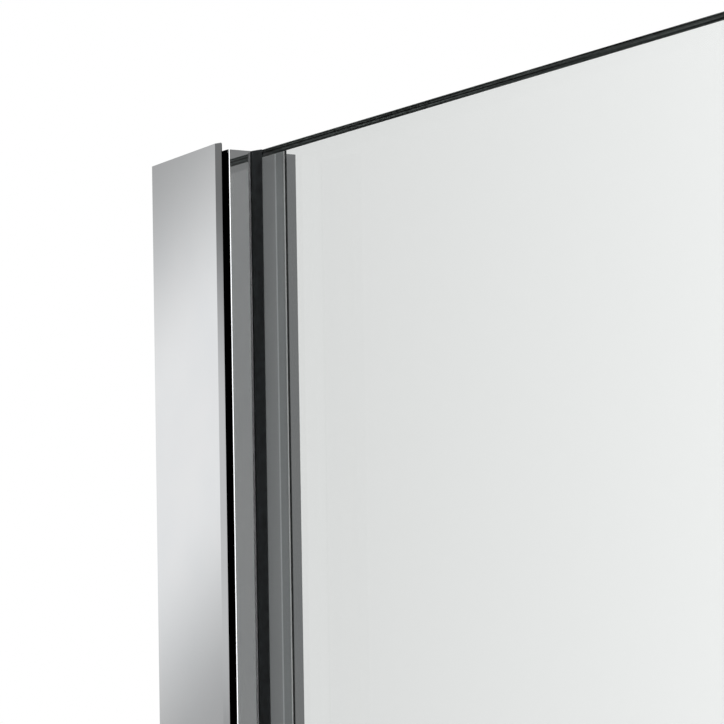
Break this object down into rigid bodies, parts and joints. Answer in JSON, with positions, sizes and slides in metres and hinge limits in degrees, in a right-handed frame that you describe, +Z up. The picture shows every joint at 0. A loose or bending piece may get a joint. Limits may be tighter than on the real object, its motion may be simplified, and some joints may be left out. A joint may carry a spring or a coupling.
{
  "type": "sliding shower screen",
  "caption": "Wall-to-wall glass shower screen: a fixed pane in an adjustable polished wall profile and a door that rolls on a flat rail.",
  "frame": {"origin": "foot of the left wall channel, on the wall face and on the middle plane of the fixed pane", "axes": "+X along the glass from the left wall to the right wall, +Y from the room into the shower, +Z up"},
  "size_m": [1.2, 0.117, 1.95],
  "materials": {
    "polished_aluminium": "bright polished, chrome look",
    "polished_steel": "bright polished stainless steel",
    "plain_steel": "plain stainless steel",
    "clear_glass": "clear toughened glass with ground edges",
    "black_rubber": "soft black rubber",
    "black_magnet": "black flexible magnet strip",
    "clear_vinyl": "clear flexible vinyl",
    "white_nylon": "white nylon and fibre",
    "grey_plastic": "grey moulded plastic",
    "dark_acetal": "dark machined acetal"
  },
  "bodies": {
    "frame": {"wall_channel_left": "polished_aluminium", "glazing_profile": "polished_aluminium", "sill_channel": "polished_aluminium", "wall_channel_right": "polished_aluminium", "strike_profile": "polished_aluminium", "threshold_bar": "polished_aluminium", "rail_bar": "polished_steel", "rail_bracket_left": "polished_steel", "rail_bracket_right": "polished_steel", "rail_standoffs": "polished_steel", "clamp_plates": "polished_steel", "rail_stops": "polished_steel", "guide_block": "polished_steel", "clamp_screws": "plain_steel", "set_screws": "plain_steel", "rail_bolts": "plain_steel", "fixed_glass": "clear_glass", "glazing_gasket_front": "black_rubber", "glazing_gasket_rear": "black_rubber", "sill_gaskets": "black_rubber", "stop_buffers": "black_rubber", "strike_magnet": "black_magnet", "fixed_edge_seal": "clear_vinyl", "setting_blocks": "white_nylon", "guide_liners": "white_nylon", "fixing_sleeves": "white_nylon", "fixing_washers": "white_nylon", "sill_end_cap": "grey_plastic", "clamp_screw_caps": "grey_plastic"},
    "door": {"door_glass": "clear_glass", "door_edge_seal": "clear_vinyl", "door_magnet": "black_magnet", "door_trailing_seal": "clear_vinyl", "door_drip_seal": "clear_vinyl", "axle_bolts": "plain_steel", "bearing_inner_races": "plain_steel", "roller_hubs": "polished_steel", "eccentric_bushes": "white_nylon", "roller_washers": "white_nylon", "roller_cap_nuts": "polished_steel", "anti_lift_discs": "dark_acetal", "anti_lift_bolts": "plain_steel", "anti_lift_spacers": "polished_steel", "anti_lift_sleeves": "white_nylon", "anti_lift_washers": "white_nylon", "anti_lift_caps": "polished_steel", "handle_bar_outside": "polished_steel", "handle_bar_inside": "polished_steel", "handle_posts": "polished_steel", "handle_washers": "white_nylon", "handle_sleeves": "white_nylon", "handle_studs": "plain_steel", "handle_grub_screws": "plain_steel"},
    "wheel_left": {"roller_left": "dark_acetal", "bearing_outer_left": "plain_steel", "bearing_balls_left": "plain_steel"},
    "wheel_right": {"roller_right": "dark_acetal", "bearing_outer_right": "plain_steel", "bearing_balls_right": "plain_steel"}
  },
  "joints": [
    {"name": "door_slide", "type": "slide", "parent": "frame", "child": "door", "axis": [-1, 0, 0], "range_m": [0, 0.47]},
    {"name": "wheel_left_spin", "type": "hinge", "parent": "door", "child": "wheel_left", "pos_m": [0.68, 0.021, 1.857], "axis": [0, -1, 0], "continuous": true},
    {"name": "wheel_right_spin", "type": "hinge", "parent": "door", "child": "wheel_right", "pos_m": [1.07, 0.021, 1.857], "axis": [0, -1, 0], "continuous": true}
  ],
  "couplings": [
    {"joint": "wheel_left_spin", "follows": "door_slide", "rad_per_m": 45.455},
    {"joint": "wheel_right_spin", "follows": "door_slide", "rad_per_m": 45.455}
  ]
}
